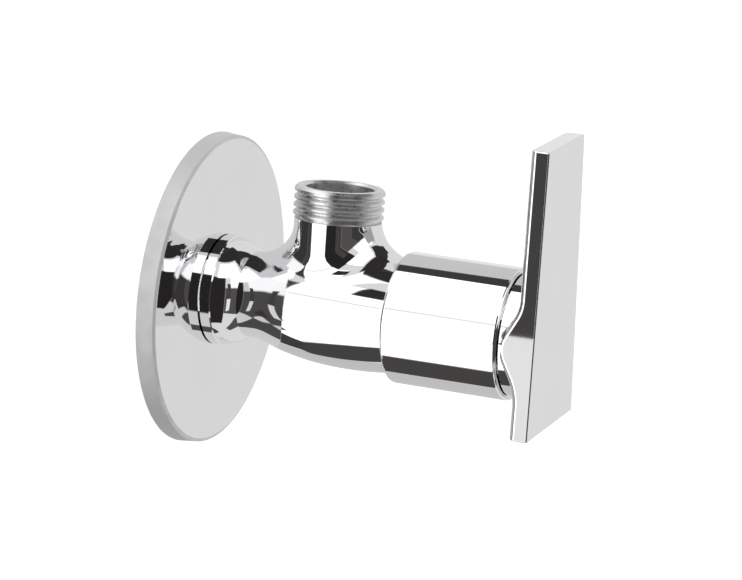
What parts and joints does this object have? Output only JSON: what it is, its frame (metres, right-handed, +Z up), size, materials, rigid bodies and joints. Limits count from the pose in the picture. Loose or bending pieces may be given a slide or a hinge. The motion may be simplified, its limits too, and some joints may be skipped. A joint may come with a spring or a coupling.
{
  "type": "angle stop valve",
  "caption": "Quarter-turn angle stop valve: chromed body with wall flange, threaded inlet on the valve axis, threaded outlet at a right angle, covered cartridge and flat lever handle.",
  "frame": {"origin": "on the valve's axis in the wall plane, where the back rim of the wall flange rests; the inlet thread runs on behind it", "axes": "+X along the valve's axis from the wall to the handle, +Z up along the outlet, +Y to the right as seen from the front, facing the wall and the handle"},
  "size_m": [0.0986, 0.0732, 0.0827],
  "materials": {
    "chromed_body": "polished chrome plate on cast brass, satin on the turned threads",
    "chromed_flange": "bright chrome on pressed sheet",
    "chromed_sleeve": "mirror chrome on turned tube",
    "chromed_lever": "mirror chrome on a die casting, soft satin on the broad front",
    "brass": "machined, fine turning marks",
    "ceramic_white": "lapped alumina ceramic, glossy",
    "white_plastic": "moulded acetal",
    "plug_plastic": "moulded grey plastic",
    "seal_rubber": "matt black nitrile",
    "fibre_gasket": "pressed red fibre",
    "clip_steel": "stainless spring steel, stamped",
    "screw_steel": "stainless steel, machined"
  },
  "bodies": {
    "valve": {"valve_body": "chromed_body", "bonnet_sleeve": "chromed_sleeve", "sleeve_o_ring": "seal_rubber", "seat_seal": "seal_rubber", "seal_support_ring": "white_plastic", "fixed_disc": "ceramic_white", "cartridge_housing": "brass", "cartridge_gasket": "fibre_gasket"},
    "handle": {"handle_lever": "chromed_lever", "spline_insert": "white_plastic", "handle_grub_screw": "screw_steel", "grub_screw_plug": "plug_plastic", "spindle": "brass", "spindle_o_ring_inner": "seal_rubber", "spindle_o_ring_outer": "seal_rubber", "thrust_washer": "white_plastic", "stop_washer": "brass", "retaining_clip": "clip_steel", "moving_disc": "ceramic_white"},
    "flange": {"wall_flange": "chromed_flange"}
  },
  "joints": [
    {"name": "handle_turn", "type": "hinge", "parent": "valve", "child": "handle", "pos_m": [0.06, 0, 0], "axis": [1, 0, 0], "range_deg": [-90, 0]},
    {"name": "flange_slide", "type": "slide", "parent": "valve", "child": "flange", "axis": [1, 0, 0], "range_m": [-0.01, 0]}
  ]
}
